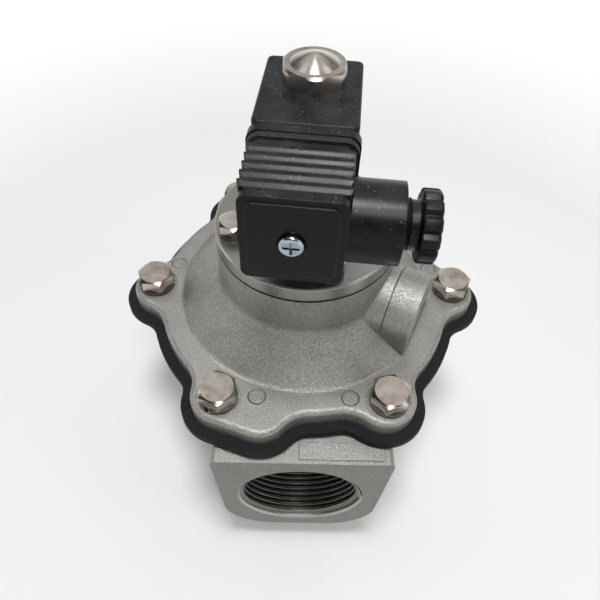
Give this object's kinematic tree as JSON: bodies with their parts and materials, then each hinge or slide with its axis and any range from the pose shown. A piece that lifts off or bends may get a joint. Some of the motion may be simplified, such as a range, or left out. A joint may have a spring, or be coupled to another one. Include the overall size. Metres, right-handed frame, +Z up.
{
  "type": "dust collector pulse valve",
  "caption": "Right-angle diaphragm pulse valve with a lobed bolted bonnet, an integral pilot and a black coil with a plug connector and cable gland on top.",
  "frame": {"origin": "centre of the outlet port's mouth, on the face the valve stands on", "axes": "+Z up the valve axis away from the outlet, the inlet port faces -Y, +X to the right"},
  "size_m": [0.1504, 0.1404, 0.1913],
  "materials": {
    "cast_aluminium": "shot-blasted casting",
    "turned_aluminium": "turned",
    "diaphragm_rubber": "fabric-faced",
    "bolt_steel": "bright stainless",
    "spring_steel": "drawn wire",
    "tube_steel": "turned stainless",
    "bright_nut": "turned bright",
    "black_moulding": "fine spark texture",
    "insert_moulding": "plain",
    "seal_rubber": "matt",
    "winding_wire": "enamelled",
    "zinc_screw": "bright zinc"
  },
  "bodies": {
    "valve": {"valve_body": "cast_aluminium", "bonnet": "cast_aluminium", "main_diaphragm": "diaphragm_rubber", "main_spring": "spring_steel", "bonnet_bolts": "bolt_steel", "bonnet_washers": "bolt_steel", "pilot_diaphragm": "diaphragm_rubber", "pilot_spring": "spring_steel", "pilot_plate": "cast_aluminium", "plate_bolts": "bolt_steel", "plate_washers": "bolt_steel", "armature_tube": "tube_steel", "tube_o_ring": "seal_rubber", "fixed_core": "tube_steel", "plunger_spring": "spring_steel", "dome_nut": "bright_nut"},
    "main_disc": {"diaphragm_plate": "turned_aluminium", "diaphragm_hub": "turned_aluminium", "hub_nut": "bolt_steel"},
    "pilot_lifter": {"pilot_disc": "turned_aluminium"},
    "armature": {"plunger": "tube_steel", "plunger_seal": "seal_rubber"},
    "coil": {"coil_housing": "black_moulding", "coil_winding": "winding_wire", "coil_blades": "winding_wire", "connector_gasket": "seal_rubber", "connector_housing": "black_moulding", "connector_insert": "insert_moulding", "connector_screw": "zinc_screw", "gland_seal": "seal_rubber"},
    "gland_slider": {"gland_washer": "tube_steel"},
    "gland_turner": {"gland_nut": "black_moulding"}
  },
  "joints": [
    {"name": "main_lift", "type": "slide", "parent": "valve", "child": "main_disc", "axis": [0, 0, 1], "range_m": [0, 0.008], "stiffness_N_per_m": 250, "springref_m": -0.006, "deforming": ["main_diaphragm", "main_spring"]},
    {"name": "pilot_lift", "type": "slide", "parent": "valve", "child": "pilot_lifter", "axis": [0, 0, 1], "range_m": [0, 0.0016], "stiffness_N_per_m": 60, "springref_m": -0.002, "deforming": ["pilot_spring"]},
    {"name": "plunger_lift", "type": "slide", "parent": "valve", "child": "armature", "axis": [0, 0, 1], "range_m": [0, 0.0015], "stiffness_N_per_m": 150, "springref_m": -0.004, "deforming": ["plunger_spring"]},
    {"name": "coil_turn", "type": "hinge", "parent": "valve", "child": "coil", "pos_m": [0, 0, 0.1451], "axis": [0, 0, 1], "continuous": true},
    {"name": "gland_slide", "type": "slide", "parent": "coil", "child": "gland_slider", "axis": [0.9954, -0.0958, 0], "range_m": [-0.0021, 0.0042], "deforming": ["gland_seal"]},
    {"name": "gland_nut_turn", "type": "hinge", "parent": "gland_slider", "child": "gland_turner", "pos_m": [0.03314, -0.04498, 0.1662], "axis": [0.9954, -0.0958, 0], "range_deg": [-600, 1140]}
  ],
  "couplings": [
    {"joint": "gland_nut_turn", "follows": "gland_slide", "rad_per_m": 4464.3}
  ]
}
